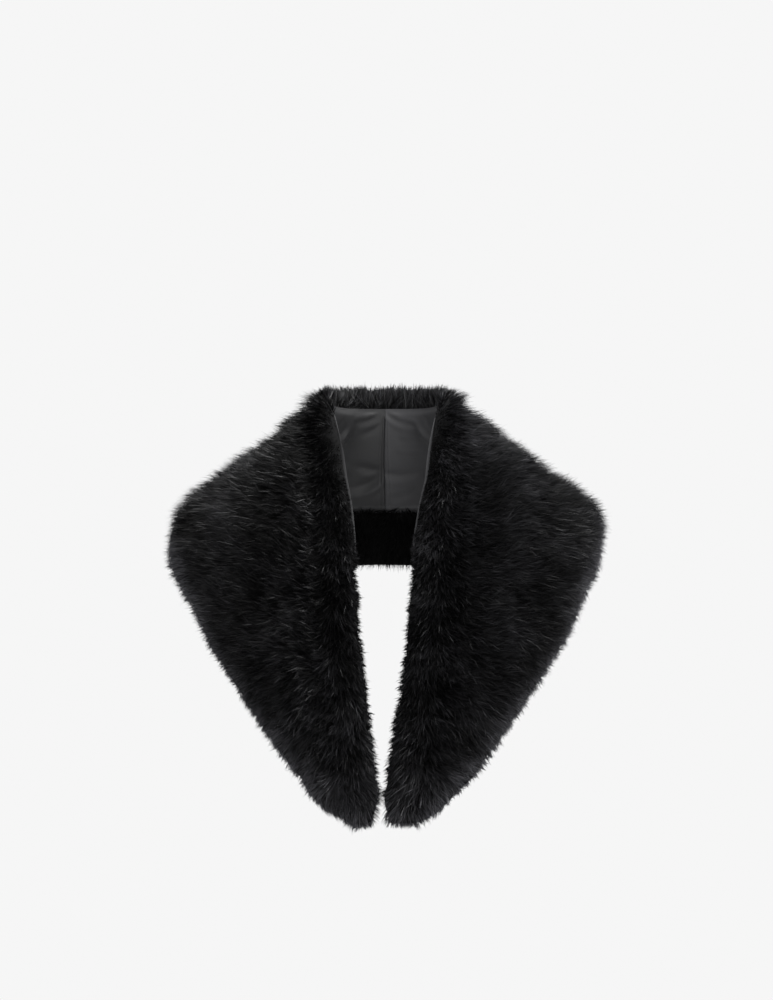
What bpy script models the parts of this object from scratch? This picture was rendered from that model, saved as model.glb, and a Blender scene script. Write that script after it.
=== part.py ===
"""Fur collar wrap in its worn form: fur and lining in two halves each, and a fur facing inside the back hem.

Metres, +Z up. X runs across the shoulders, and -Y is the wearer's front. The origin is the centre of the neck
base. Each half is one strip: it starts at the centre back seam, passes over the shoulder and ends at the front
tip. A row of SECTIONS crosses the strip from the neck or front edge to the hem. Every solid is read from that
one surface, at its own depth.
"""

import math
from typing import NamedTuple

import bpy
import numpy as np

MM = 0.001

# Driving dimensions.
SEAM_GAP = 0.3 * MM
PILE = 25 * MM
LINING_THICKNESS = 1.2 * MM
FACING_PILE = 11 * MM
FACING_DEPTH = 75 * MM
FACING_INSET = 4 * MM

# Both tips hang slightly towards -X, from just under the neck base down.
TIP_LEAN = 4 * MM
LEAN_TOP = -50 * MM
LEAN_HEIGHT = 280 * MM

# How the pile rounds off at the edges of the fur.
NOSE_LIFT = 9 * MM
NECK_ROUND = 18 * MM
HEM_ROUND = 22 * MM
TIP_ROUND = 24 * MM
FACING_ROUND = 11 * MM

# Soft tufts on the outer side of the pile.
TUFT_HEIGHT = 1.6 * MM
TUFT_ACROSS = 34 * MM
TUFT_ALONG = 58 * MM

# Mesh density: steps along each half of the strip, and across its three bands. All pieces share these lines.
LINED_ROWS = 46
TIP_ROWS = 5
EDGE_STEPS = 4
LINING_STEPS = 9
HEM_STEPS = 6
NARROWEST_LINING = 8 * MM
WIDTH_SAMPLES = 9
SLOPE_STEP = 0.001
SHARP_ANGLE = math.radians(50)

FUR_BLACK = (0.010, 0.010, 0.011, 1.0)
LINING_BLACK = (0.040, 0.040, 0.043, 1.0)


class Section(NamedTuple):
    """One line across the strip in millimetres, and how far the fur reaches past the lining at its ends."""

    place: str
    edge: tuple
    stand: tuple
    crown: tuple
    hem: tuple
    edge_reach: float
    hem_reach: float


SECTIONS = (
    Section("centre back", (0, 72, 90), (0, 62, 22), (0, 80, -42), (0, 110, -104), 21, 18),
    Section("back neck", (34, 62, 89), (39, 56, 24), (64, 74, -36), (92, 104, -106), 21, 18),
    Section("back shoulder", (57, 34, 86), (70, 35, 31), (120, 48, -18), (180, 68, -92), 20, 18),
    Section("shoulder ridge", (60, -6, 79), (89, -3, 31), (150, 2, -15), (217, 10, -68), 14, 18),
    Section("collar bone", (50, -38, 57), (92, -38, 8), (151, -38, -43), (215, -16, -102), 5, 18),
    Section("upper chest", (43, -58, 6), (90, -70, -37), (143, -66, -85), (196, -40, -140), 3, 18),
    Section("chest", (35, -74, -54), (80, -88, -89), (129, -83, -131), (176, -60, -178), 4, 17),
    Section("lower chest", (30, -87, -110), (70, -102, -138), (112, -98, -174), (152, -79, -215), 5, 17),
    Section("upper front", (26, -97, -166), (59, -110, -188), (93, -109, -219), (125, -96, -254), 6, 17),
    Section("mid front", (20, -104, -222), (46, -115, -239), (72, -116, -263), (96, -107, -290), 6, 17),
    Section("lower front", (13, -109, -278), (31, -118, -289), (50, -119, -304), (68, -113, -322), 7, 17),
    Section("above tip", (10, -112, -322), (23, -119, -329), (37, -119, -337), (50, -115, -345), 8, 17),
    Section("tip", (15, -116, -350), (21, -118, -352), (28, -118, -354), (34, -117, -356), 9, 16),
)


def rows_of(name):
    """One column of the table as an array in metres."""
    return np.array([getattr(row, name) for row in SECTIONS], float) * MM


def knots():
    """How far along the strip each row lies, as a share of its length, and that length in metres."""
    guides = np.stack([rows_of(name) for name in ("edge", "stand", "crown", "hem")])
    steps = np.linalg.norm(np.diff(guides, axis=1), axis=2).mean(axis=0)
    along = np.concatenate([[0.0], np.cumsum(steps)])
    return along / along[-1], along[-1]


KNOTS, STRIP_LENGTH = knots()


def slopes(values):
    """Slopes of a smooth curve through the rows, which crosses the centre back's mirror plane squarely."""
    before = values[1] * np.array([-1, 1, 1]) if values.ndim == 2 else values[1]
    places = np.concatenate([[-KNOTS[1]], KNOTS, [2 * KNOTS[-1] - KNOTS[-2]]])
    padded = np.concatenate([[before], values, [2 * values[-1] - values[-2]]])
    left = (padded[1:-1] - padded[:-2]).T / (places[1:-1] - places[:-2])
    right = (padded[2:] - padded[1:-1]).T / (places[2:] - places[1:-1])
    share = (places[1:-1] - places[:-2]) / (places[2:] - places[:-2])
    return (left * (1 - share) + right * share).T


def along_strip(name, at):
    """A column of the table, read smoothly at the shares of the strip given in at."""
    values = rows_of(name)
    tangents = slopes(values)
    row = np.clip(np.searchsorted(KNOTS, at, side="right") - 1, 0, len(KNOTS) - 2)
    span = KNOTS[row + 1] - KNOTS[row]
    t = (at - KNOTS[row]) / span
    if values.ndim == 2:
        t, span = t[:, None], span[:, None]
    return (
        (2 * t**3 - 3 * t**2 + 1) * values[row]
        + (t**3 - 2 * t**2 + t) * span * tangents[row]
        + (3 * t**2 - 2 * t**3) * values[row + 1]
        + (t**3 - t**2) * span * tangents[row + 1]
    )


def strip_points(at, across):
    """Points of the cloth's outer face, on a cubic through the four guide lines, at shares of the strip."""
    edge, stand, crown, hem = (along_strip(name, at) for name in ("edge", "stand", "crown", "hem"))
    v = across[:, None]
    return (
        edge * (1 - 3 * v) * (2 - 3 * v) * (1 - v)
        + 9 * stand * v * (2 - 3 * v) * (1 - v)
        + 9 * crown * v * (3 * v - 1) * (1 - v)
        + hem * v * (3 * v - 1) * (3 * v - 2)
    ) / 2


def strip_normals(at, across):
    """Unit normals that point away from the wearer."""
    low, high = np.clip(at - SLOPE_STEP, 0, 1), np.clip(at + SLOPE_STEP, 0, 1)
    left, right = np.clip(across - SLOPE_STEP, 0, 1), np.clip(across + SLOPE_STEP, 0, 1)
    du = strip_points(high, across) - strip_points(low, across)
    dv = strip_points(at, right) - strip_points(at, left)
    normal = np.cross(du, dv)
    normal[:, 0] *= np.where(at < SLOPE_STEP, 0.0, 1.0)
    return normal / np.linalg.norm(normal, axis=1)[:, None]


def widths(at):
    """The strip's width along each section, in metres."""
    lines = np.stack([strip_points(at, np.full(len(at), v)) for v in np.linspace(0, 1, WIDTH_SAMPLES)])
    return np.linalg.norm(np.diff(lines, axis=0), axis=2).sum(axis=0)


def dense_at_end(steps, blend=0.45):
    """Shares from 0 to 1, closer together towards 1."""
    s = np.linspace(0, 1, steps + 1)
    return (1 - blend) * s + blend * np.sin(math.pi * s / 2)


def quarter_round(distance, radius):
    """0 at an edge, rising as a quarter circle to 1 one radius in."""
    s = np.clip(distance / radius, 0, 1)
    return np.sqrt(1 - (1 - s) ** 2)


def smooth_step(x):
    x = np.clip(x, 0, 1)
    return x * x * (3 - 2 * x)


def tufts(points):
    """A soft unevenness of about plus or minus 1, from two sets of waves that bend each other."""
    x, y, z = points.T
    fall = (z + 0.4 * np.abs(x)) / TUFT_ACROSS
    out = (np.abs(x) - 0.3 * z + 0.5 * y) / TUFT_ALONG
    across_waves = np.sin(2 * math.pi * fall + 1.7 * np.sin(4 * out))
    along_waves = np.sin(2 * math.pi * out + 2.1 * np.sin(1.3 * fall) + 3 * x / TUFT_ALONG)
    return (across_waves + along_waves) / 2


def placed(points, side):
    """Points of the +X half, moved to their side and leant with the tips."""
    moved = points * np.array([side, 1, 1])
    moved[:, 0] -= TIP_LEAN * smooth_step((LEAN_TOP - moved[:, 2]) / LEAN_HEIGHT)
    return moved


def lifted(at, across, depth, side, ruffled=0.0):
    """Points at a depth above the cloth's outer face, clear of the other half at the centre back seam."""
    normal = strip_normals(at, across)
    points = strip_points(at, across) + normal * depth[:, None]
    points[:, 0] = np.maximum(points[:, 0], SEAM_GAP / 2)
    points = placed(points, side)
    bump = TUFT_HEIGHT * ruffled * tufts(points)
    return points + normal * np.array([side, 1, 1]) * np.reshape(bump, (-1, 1))


def closed_sheet(name, over, under, side, material, pinched=False):
    """A solid between two grids of points. If pinched, its free edges close to a line and have no wall."""
    rows, columns = over.shape[:2]
    points, index = [], {}

    def vertex(layer, i, j):
        closed = pinched and (j in (0, columns - 1) or i == rows - 1)
        key = (0 if closed else layer, i, j)
        if key not in index:
            index[key] = len(points)
            points.append((over, under)[key[0]][i, j])
        return index[key]

    faces = []
    for i in range(rows - 1):
        for j in range(columns - 1):
            ring = [(i, j), (i + 1, j), (i + 1, j + 1), (i, j + 1)]
            for corners in (ring[:3], [ring[0], ring[2], ring[3]]):
                faces.append([vertex(0, *at) for at in corners])
                faces.append([vertex(1, *at) for at in reversed(corners)])
    border = (
        [(i, 0) for i in range(rows)]
        + [(rows - 1, j) for j in range(1, columns)]
        + [(i, columns - 1) for i in range(rows - 2, -1, -1)]
        + [(0, j) for j in range(columns - 2, 0, -1)]
    )
    for a, b in zip(border, border[1:] + border[:1]):
        wall = [vertex(0, *b), vertex(0, *a), vertex(1, *a), vertex(1, *b)]
        wall = [corner for k, corner in enumerate(wall) if corner != wall[k - 1]]
        if len(wall) > 2:
            faces.append(wall)
    if side < 0:
        faces = [face[::-1] for face in faces]
    mesh = bpy.data.meshes.new(name)
    mesh.from_pydata([tuple(point) for point in points], [], faces)
    mesh.materials.append(material)
    mesh.shade_smooth()
    mesh.set_sharp_from_angle(angle=SHARP_ANGLE)
    piece = bpy.data.objects.new(name, mesh)
    bpy.context.scene.collection.objects.link(piece)
    return piece


def grid(at, across):
    """Flat arrays of shares for each crossing of the lines, and the shape of the grid that they make."""
    return np.repeat(at, across.shape[1]), across.reshape(-1), across.shape


LINING_END = 1 - rows_of("hem_reach")[-1] / STRIP_LENGTH
ROWS = np.concatenate(
    [
        dense_at_end(LINED_ROWS) * LINING_END,
        LINING_END + dense_at_end(TIP_ROWS)[1:] * (1 - LINING_END),
    ]
)

# The facing runs past the back of the shoulder, and narrows over the last part of its length.
FACING_END = 0.92 * KNOTS[3]
FACING_NARROWS = 0.55


def faced(at):
    """1 where the back hem has its full facing, falling to 0 at the facing's end near the shoulder."""
    return 1 - smooth_step((at / FACING_END - FACING_NARROWS) / (1 - FACING_NARROWS))


def facing_top(at):
    """How far above the hem the lining ends: above the facing over the back, close to the hem elsewhere."""
    reach = along_strip("hem_reach", at)
    return reach + (FACING_DEPTH - reach) * faced(at)


def bands(at):
    """Shares across the strip for each row: up to the lining, over the lining, and on to the hem."""
    width = widths(at)
    first = along_strip("edge_reach", at) / width
    last = 1 - facing_top(at) / width
    middle = (first + last) / 2
    least = NARROWEST_LINING / 2 / width
    first = np.minimum(first, middle - least)[:, None]
    last = np.maximum(last, middle + least)[:, None]
    edge_band = first * (1 - dense_at_end(EDGE_STEPS)[::-1])
    lining_band = first + (last - first) * np.linspace(0, 1, LINING_STEPS + 1)
    hem_band = last + (1 - last) * dense_at_end(HEM_STEPS)
    return edge_band, lining_band, hem_band


def fur_half(name, side, material):
    """The fur shell: backing and pile together, rounded off where the pile falls past the edges."""
    edge_band, lining_band, hem_band = bands(ROWS)
    at, across, shape = grid(ROWS, np.hstack([edge_band, lining_band[:, 1:], hem_band[:, 1:]]))
    width = widths(at)
    from_edge, from_hem = across * width, (1 - across) * width
    from_tip = (1 - at) * STRIP_LENGTH
    full = (
        quarter_round(from_edge, NECK_ROUND)
        * quarter_round(from_hem, HEM_ROUND)
        * quarter_round(from_tip, TIP_ROUND)
    )
    past_edge = 1 - np.clip(from_edge / along_strip("edge_reach", at), 0, 1)
    past_hem = (1 - np.clip(from_hem / along_strip("hem_reach", at), 0, 1)) * (1 - faced(at))
    past_tip = 1 - np.clip(from_tip / along_strip("hem_reach", at), 0, 1)
    past = np.maximum(np.maximum(past_edge, past_hem), past_tip)
    under_depth = SEAM_GAP + NOSE_LIFT * past**2
    over_depth = under_depth + (PILE - under_depth) * full
    over = lifted(at, across, over_depth, side, ruffled=full)
    under = lifted(at, across, under_depth, side)
    return closed_sheet(name, over.reshape(*shape, 3), under.reshape(*shape, 3), side, material, pinched=True)


def lining_half(name, side, material):
    """One lining panel, from the centre back seam to the tip. The fur reaches past it on every free edge."""
    rows = ROWS[: LINED_ROWS + 1]
    lining_band = bands(rows)[1]
    at, across, shape = grid(rows, lining_band)
    over = lifted(at, across, np.zeros(len(at)), side)
    under = lifted(at, across, np.full(len(at), -LINING_THICKNESS), side)
    return closed_sheet(name, over.reshape(*shape, 3), under.reshape(*shape, 3), side, material)


def back_facing(name, material):
    """The fur turned to the inside of the back hem: one strip, with its pile towards the wearer."""
    half = ROWS[ROWS <= FACING_END]
    rows = np.concatenate([-half[:0:-1], half])
    width = widths(np.abs(rows))[:, None]
    hem_band = bands(np.abs(rows))[2]
    top = hem_band[:, :1] + SEAM_GAP / width
    bottom = 1 - FACING_INSET / width
    at, across, shape = grid(rows, np.clip(hem_band, top, bottom))
    wide = np.repeat(width, shape[1])
    from_top = (across - np.repeat(top, shape[1])) * wide
    from_bottom = (np.repeat(bottom, shape[1]) - across) * wide
    from_end = (half[-1] - np.abs(at)) * STRIP_LENGTH
    full = (
        quarter_round(from_top + FACING_INSET, FACING_ROUND)
        * quarter_round(from_bottom + FACING_INSET, FACING_ROUND)
        * quarter_round(from_end + FACING_INSET, HEM_ROUND)
    )
    mirror = np.ones((len(at), 3))
    mirror[:, 0] = np.where(at < 0, -1, 1)
    base = strip_points(np.abs(at), across) * mirror
    normal = strip_normals(np.abs(at), across) * mirror
    over = placed(base, 1).reshape(*shape, 3)
    under = placed(base - normal * (FACING_PILE * full)[:, None], 1).reshape(*shape, 3)
    return closed_sheet(name, over, under, 1, material)


def finish(name, colour, roughness, sheen):
    material = bpy.data.materials.new(name)
    material.use_nodes = True
    shader = material.node_tree.nodes["Principled BSDF"]
    shader.inputs["Base Color"].default_value = colour
    shader.inputs["Roughness"].default_value = roughness
    shader.inputs["Metallic"].default_value = 0.0
    shader.inputs["Sheen Weight"].default_value = sheen
    return material


def build():
    for thing in list(bpy.data.objects):
        bpy.data.objects.remove(thing)
    fur = finish("black_fur", FUR_BLACK, roughness=0.75, sheen=0.2)
    satin = finish("lining_satin", LINING_BLACK, roughness=0.4, sheen=0.0)
    for word, side in (("left", -1), ("right", 1)):
        fur_half(f"fur_{word}", side, fur)
        lining_half(f"lining_{word}", side, satin)
    back_facing("back_hem_facing", fur)


build()
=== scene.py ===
"""Fur collar wrap as the photo shows it: long black pile, grey satin lining and soft studio light.

Metres, +Z up, -Y towards the wearer's front. The surface is the one that the solids are read from: each half
is a strip from the centre back to the front tip. A place on it is (at, across): the shares of its length, and
of its width from the neck or front edge to the hem. Everything is worked out on the +X half and then placed
on its side.
"""

import math
from typing import NamedTuple

import bpy
import numpy as np
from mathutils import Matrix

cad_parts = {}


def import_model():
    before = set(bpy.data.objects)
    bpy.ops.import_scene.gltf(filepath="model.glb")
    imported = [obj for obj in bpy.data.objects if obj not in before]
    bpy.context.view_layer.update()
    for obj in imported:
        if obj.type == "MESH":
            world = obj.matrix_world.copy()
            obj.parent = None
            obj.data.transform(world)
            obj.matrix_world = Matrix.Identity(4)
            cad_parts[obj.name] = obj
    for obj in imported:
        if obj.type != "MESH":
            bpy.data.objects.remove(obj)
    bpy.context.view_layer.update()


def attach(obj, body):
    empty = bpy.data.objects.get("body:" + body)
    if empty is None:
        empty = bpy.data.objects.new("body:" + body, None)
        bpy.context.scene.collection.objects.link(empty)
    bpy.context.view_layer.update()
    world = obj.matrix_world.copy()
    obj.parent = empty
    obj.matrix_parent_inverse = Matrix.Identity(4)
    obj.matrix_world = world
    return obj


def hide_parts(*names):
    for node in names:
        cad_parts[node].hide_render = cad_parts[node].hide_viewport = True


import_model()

MM = 0.001

# The strip, with the sizes of the solids.
SEAM_GAP = 0.3 * MM
PILE = 25 * MM
LINING_THICKNESS = 1.2 * MM
FACING_DEPTH = 65 * MM
TIP_LEAN = 4 * MM
LEAN_TOP = -50 * MM
LEAN_HEIGHT = 280 * MM
NOSE_LIFT = 9 * MM
NECK_ROUND = 18 * MM
HEM_ROUND = 22 * MM
TIP_ROUND = 24 * MM
NARROWEST_LINING = 8 * MM
WIDTH_SAMPLES = 9
SLOPE_STEP = 0.001


class Section(NamedTuple):
    """One line across the strip in millimetres, and how far the fur reaches past the lining at its ends."""

    place: str
    edge: tuple
    stand: tuple
    crown: tuple
    hem: tuple
    edge_reach: float
    hem_reach: float


SECTIONS = (
    Section("centre back", (0, 72, 90), (0, 62, 22), (0, 80, -42), (0, 110, -104), 21, 18),
    Section("back neck", (34, 62, 89), (39, 56, 24), (64, 74, -36), (92, 104, -106), 21, 18),
    Section("back shoulder", (57, 34, 86), (70, 35, 31), (120, 48, -18), (180, 68, -92), 20, 18),
    Section("shoulder ridge", (60, -6, 79), (89, -3, 31), (150, 2, -15), (217, 10, -68), 14, 18),
    Section("collar bone", (50, -38, 57), (92, -38, 8), (151, -38, -43), (215, -16, -102), 5, 18),
    Section("upper chest", (43, -58, 6), (90, -70, -37), (143, -66, -85), (196, -40, -140), 3, 18),
    Section("chest", (35, -74, -54), (80, -88, -89), (129, -83, -131), (176, -60, -178), 4, 17),
    Section("lower chest", (30, -87, -110), (70, -102, -138), (112, -98, -174), (152, -79, -215), 5, 17),
    Section("upper front", (26, -97, -166), (59, -110, -188), (93, -109, -219), (125, -96, -254), 6, 17),
    Section("mid front", (20, -104, -222), (46, -115, -239), (72, -116, -263), (96, -107, -290), 6, 17),
    Section("lower front", (13, -109, -278), (31, -118, -289), (50, -119, -304), (68, -113, -322), 7, 17),
    Section("above tip", (10, -112, -322), (23, -119, -329), (37, -119, -337), (50, -115, -345), 8, 17),
    Section("tip", (15, -116, -350), (21, -118, -352), (28, -118, -354), (34, -117, -356), 9, 16),
)


def rows_of(name):
    """One column of the table as an array in metres."""
    return np.array([getattr(row, name) for row in SECTIONS], float) * MM


def knots():
    """How far along the strip each row lies, as a share of its length, and that length in metres."""
    guides = np.stack([rows_of(name) for name in ("edge", "stand", "crown", "hem")])
    steps = np.linalg.norm(np.diff(guides, axis=1), axis=2).mean(axis=0)
    along = np.concatenate([[0.0], np.cumsum(steps)])
    return along / along[-1], along[-1]


KNOTS, STRIP_LENGTH = knots()
SHOULDER_RIDGE = KNOTS[3]
LINING_END = 1 - rows_of("hem_reach")[-1] / STRIP_LENGTH


def slopes(values):
    """Slopes of a smooth curve through the rows, which crosses the centre back's mirror plane squarely."""
    before = values[1] * np.array([-1, 1, 1]) if values.ndim == 2 else values[1]
    places = np.concatenate([[-KNOTS[1]], KNOTS, [2 * KNOTS[-1] - KNOTS[-2]]])
    padded = np.concatenate([[before], values, [2 * values[-1] - values[-2]]])
    left = (padded[1:-1] - padded[:-2]).T / (places[1:-1] - places[:-2])
    right = (padded[2:] - padded[1:-1]).T / (places[2:] - places[1:-1])
    share = (places[1:-1] - places[:-2]) / (places[2:] - places[:-2])
    return (left * (1 - share) + right * share).T


def along_strip(name, at):
    """A column of the table, read smoothly at the shares of the strip given in at."""
    values = rows_of(name)
    tangents = slopes(values)
    row = np.clip(np.searchsorted(KNOTS, at, side="right") - 1, 0, len(KNOTS) - 2)
    span = KNOTS[row + 1] - KNOTS[row]
    t = (at - KNOTS[row]) / span
    if values.ndim == 2:
        t, span = t[:, None], span[:, None]
    return (
        (2 * t**3 - 3 * t**2 + 1) * values[row]
        + (t**3 - 2 * t**2 + t) * span * tangents[row]
        + (3 * t**2 - 2 * t**3) * values[row + 1]
        + (t**3 - t**2) * span * tangents[row + 1]
    )


def strip_points(at, across):
    """Points of the cloth's outer face, on a cubic through the four guide lines, at shares of the strip."""
    edge, stand, crown, hem = (along_strip(name, at) for name in ("edge", "stand", "crown", "hem"))
    v = across[:, None]
    return (
        edge * (1 - 3 * v) * (2 - 3 * v) * (1 - v)
        + 9 * stand * v * (2 - 3 * v) * (1 - v)
        + 9 * crown * v * (3 * v - 1) * (1 - v)
        + hem * v * (3 * v - 1) * (3 * v - 2)
    ) / 2


def unit(vectors):
    return vectors / np.maximum(np.linalg.norm(vectors, axis=-1, keepdims=True), 1e-9)


def strip_frame(at, across):
    """Unit directions at places on the strip: away from the wearer, towards the tip and towards the hem."""
    low, high = np.clip(at - SLOPE_STEP, 0, 1), np.clip(at + SLOPE_STEP, 0, 1)
    left, right = np.clip(across - SLOPE_STEP, 0, 1), np.clip(across + SLOPE_STEP, 0, 1)
    towards_tip = strip_points(high, across) - strip_points(low, across)
    towards_hem = strip_points(at, right) - strip_points(at, left)
    normal = np.cross(towards_tip, towards_hem)
    normal[:, 0] *= np.where(at < SLOPE_STEP, 0.0, 1.0)
    return unit(normal), unit(towards_tip), unit(towards_hem)


def widths(at):
    """The strip's width along each section, in metres."""
    lines = np.stack([strip_points(at, np.full(len(at), v)) for v in np.linspace(0, 1, WIDTH_SAMPLES)])
    return np.linalg.norm(np.diff(lines, axis=0), axis=2).sum(axis=0)


def quarter_round(distance, radius):
    """0 at an edge, rising as a quarter circle to 1 one radius in."""
    s = np.clip(distance / radius, 0, 1)
    return np.sqrt(1 - (1 - s) ** 2)


def smooth_step(x):
    x = np.clip(x, 0, 1)
    return x * x * (3 - 2 * x)


def word_of(side):
    return "right" if side > 0 else "left"


def by_height(rows, column, height):
    """One column of a table whose rows go down from the top, read at heights."""
    rows = rows[::-1]
    return np.interp(height, [row.height * MM for row in rows], [getattr(row, column) for row in rows])


def bell(x, z, row):
    """1 at the middle of a Nudge or Patch in the front view, falling to 0 around it."""
    return np.exp(-((x / MM - row.x) ** 2 + (z / MM - row.z) ** 2) / row.size**2)


def grid(at_lines, first, last, columns, closer=1.0):
    """Places on lines across the strip, each with so many steps between two shares of its width."""
    across = first[:, None] + (last - first)[:, None] * np.linspace(0, 1, columns + 1) ** closer
    return np.repeat(at_lines, columns + 1), across.reshape(-1)


class Shift(NamedTuple):
    """How far the front edges and the hems hang to the viewer's right at one height, all in millimetres."""

    height: float
    left_edge: float
    left_hem: float
    right_edge: float
    right_hem: float


SHIFTS = (
    Shift(50, -1, 0, 0, 0),
    Shift(22, 2, 0, 0, 0),
    Shift(-10, 1.5, 0, 1, 0),
    Shift(-35, 2.5, 0, -2, 0),
    Shift(-72, 2, 3, -4, 0),
    Shift(-94, 0, 7, -2, -2),
    Shift(-111, -3, 8, -1, -4),
    Shift(-130, 1, 5, 0, -1),
    Shift(-150, -1.5, 3, -1.5, 2),
    Shift(-190, 0, 3, 0, 2),
    Shift(-230, 2, 4, 0.5, 2),
    Shift(-250, 1, 4, -1.5, 3),
    Shift(-270, -0.5, 3, 0.5, 4),
    Shift(-290, 2, 2, -1.5, 6),
    Shift(-310, 2, 0, -1, 11),
    Shift(-330, 5, -4, -6, 5.5),
    Shift(-350, 3.5, 9, -6.5, -1),
)
FIRST_FRONT_ROW = 4
FRONTS_START = -30 * MM
FRONTS_FULL = -65 * MM


class Nudge(NamedTuple):
    """A soft bulge of the outline in the front view, in millimetres: its middle, its size and its move."""

    x: float
    z: float
    size: float
    across: float
    up: float


NUDGES = (
    Nudge(-98, 52, 22, -5, 0),
    Nudge(-82, 68, 16, 4, 0),
    Nudge(84, 66, 18, -6, 0),
    Nudge(122, 31, 22, 4, 0),
    Nudge(-181, -8, 22, 4, 0),
    Nudge(208, -34, 36, 5, 0),
    Nudge(-17, -350, 13, 0, -5),
    Nudge(12, -350, 12, 0, -6),
    Nudge(38, -356, 10, 0, 2),
    Nudge(-1, 15, 45, -1.6, 0),
)


def shifted(points, side):
    """How points of the placed half move, so that each half hangs in its own way."""
    x, y, z = points[..., 0], points[..., 1], points[..., 2]
    at_edge, at_hem = (by_height(SHIFTS, f"{word_of(side)}_{name}", z) * MM for name in ("edge", "hem"))
    fronts = (rows_of(name)[: FIRST_FRONT_ROW - 1 : -1] for name in ("edge", "hem"))
    inner, outer = (np.interp(z, line[:, 2], line[:, 0]) for line in fronts)
    share = np.clip((x * side - inner) / (outer - inner), 0, 1)
    in_front = smooth_step((FRONTS_START - y) / (FRONTS_START - FRONTS_FULL))
    move = np.zeros(points.shape)
    move[..., 0] = (at_edge * (1 - share) ** 2 + at_hem * share**2) * in_front
    for nudge in NUDGES:
        move += bell(x, z, nudge)[..., None] * np.array([nudge.across, 0, nudge.up]) * MM
    return move


def placed(points, side):
    """Points of the +X half, moved to their side and leant with the tips."""
    moved = points * np.array([side, 1, 1])
    lean = TIP_LEAN * smooth_step((LEAN_TOP - moved[..., 2]) / LEAN_HEIGHT)
    moved = moved + shifted(moved, side)
    moved[..., 0] -= lean
    return moved


FACING_END = 0.92 * SHOULDER_RIDGE
FACING_NARROWS = 0.55


def faced(at):
    """1 where the back hem has its full facing, falling to 0 at the facing's end near the shoulder."""
    return 1 - smooth_step((at / FACING_END - FACING_NARROWS) / (1 - FACING_NARROWS))


def facing_top(at):
    """How far above the hem the lining ends: above the facing over the back, close to the hem elsewhere."""
    reach = along_strip("hem_reach", at)
    return reach + (FACING_DEPTH - reach) * faced(at)


def lined_band(at):
    """The shares across the strip between which the lining lies, in each row."""
    width = widths(at)
    first = along_strip("edge_reach", at) / width
    last = 1 - facing_top(at) / width
    middle = (first + last) / 2
    least = NARROWEST_LINING / 2 / width
    return np.minimum(first, middle - least), np.maximum(last, middle + least)


class Place(NamedTuple):
    """Places on the strip, and what the fur measures there: distances in metres and unit directions."""

    at: np.ndarray
    cloth: np.ndarray
    normal: np.ndarray
    to_tip: np.ndarray
    to_hem: np.ndarray
    from_edge: np.ndarray
    from_hem: np.ndarray
    from_tip: np.ndarray
    edge_reach: np.ndarray
    hem_reach: np.ndarray
    open_hem: np.ndarray
    edge_stretch: np.ndarray
    hem_stretch: np.ndarray


def spread_over(at, first, last, width):
    """The distance that a Place has between two shares across the strip, per metre that really lies there."""
    lines = np.stack([strip_points(at, first + (last - first) * share) for share in np.linspace(0, 1, 5)])
    real = np.linalg.norm(np.diff(lines, axis=0), axis=2).sum(axis=0)
    return (last - first) * width / np.maximum(real, 1e-6)


def places(at, across):
    width = widths(at)
    return Place(
        at,
        strip_points(at, across),
        *strip_frame(at, across),
        from_edge=across * width,
        from_hem=(1 - across) * width,
        from_tip=(1 - at) * STRIP_LENGTH,
        edge_reach=along_strip("edge_reach", at),
        hem_reach=along_strip("hem_reach", at),
        open_hem=1 - faced(at),
        edge_stretch=spread_over(at, np.zeros(len(at)), across, width),
        hem_stretch=spread_over(at, across, np.ones(len(at)), width),
    )


def pile_depths(place, along=0.0, over=0.0):
    """How far above the cloth the fur's two sides lie, so far along and over the strip from a place."""
    from_edge, from_hem, from_tip = place.from_edge + over, place.from_hem - over, place.from_tip - along
    full = (
        quarter_round(from_edge, NECK_ROUND)
        * quarter_round(from_hem, HEM_ROUND)
        * quarter_round(from_tip, TIP_ROUND)
    )
    past_edge = 1 - np.clip(from_edge / place.edge_reach, 0, 1)
    past_hem = (1 - np.clip(from_hem / place.hem_reach, 0, 1)) * place.open_hem
    past_tip = 1 - np.clip(from_tip / place.hem_reach, 0, 1)
    past = np.maximum(np.maximum(past_edge, past_hem), past_tip)
    under = SEAM_GAP + NOSE_LIFT * past**2
    return under, under + (PILE - under) * full


def from_outline(place, along=0.0, over=0.0):
    """The distance to the nearest free edge of the fur, below 0 past it."""
    sideways = np.minimum(place.from_edge + over, place.from_hem - over)
    return np.minimum(sideways, place.from_tip - along)


# How far inside the fur's outline the roots and the dense base of the pile end.
ROOT_INSET = 4 * MM
ROOTS_END = 1 - ROOT_INSET / STRIP_LENGTH


def rooted_band(at):
    """The shares across the strip between which hair grows, in each row."""
    inset = ROOT_INSET / widths(at)
    return inset, 1 - inset


def waves(points, size, seed):
    """Smooth unevenness of about plus or minus 1 at points in space, from plane waves of about that size."""
    draw = np.random.default_rng(seed)
    total = np.zeros(len(points))
    count = 6
    for _ in range(count):
        direction = unit(draw.normal(size=3))
        length = size * draw.uniform(0.7, 1.5)
        total += np.sin(points @ direction * 2 * math.pi / length + draw.uniform(0, 2 * math.pi))
    return total / math.sqrt(count / 2)


# Meshes.


def added(name, data):
    """A new object of the scene."""
    thing = bpy.data.objects.new(name, data)
    bpy.context.scene.collection.objects.link(thing)
    return thing


def add_piece(name, mesh, material):
    mesh.materials.append(material)
    return added(name, mesh)


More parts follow.
